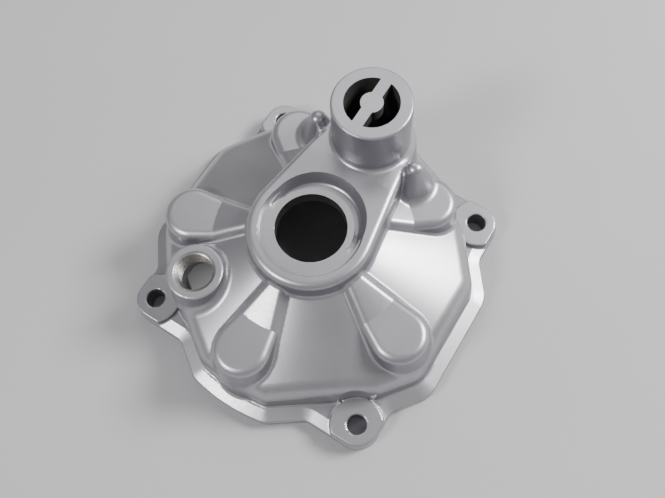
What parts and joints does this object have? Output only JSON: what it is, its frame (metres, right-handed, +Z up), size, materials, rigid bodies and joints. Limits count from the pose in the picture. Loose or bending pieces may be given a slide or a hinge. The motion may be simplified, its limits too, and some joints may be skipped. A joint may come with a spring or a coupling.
{
  "type": "valve cover",
  "caption": "Die-cast valve cover with a round domed body, central bore, raised pads, threaded port and a standing spigot tube.",
  "frame": {"origin": "on the axis of the central bore, in the plane of the gasket face", "axes": "+Z up out of the gasket face along the bore, +Y from the bore towards the spigot tube, +X across"},
  "size_m": [0.1256, 0.128, 0.066],
  "materials": {
    "cast_aluminium": "satin, fine blasted casting skin"
  },
  "bodies": {
    "root": {"cover_casting": "cast_aluminium"}
  },
  "joints": []
}
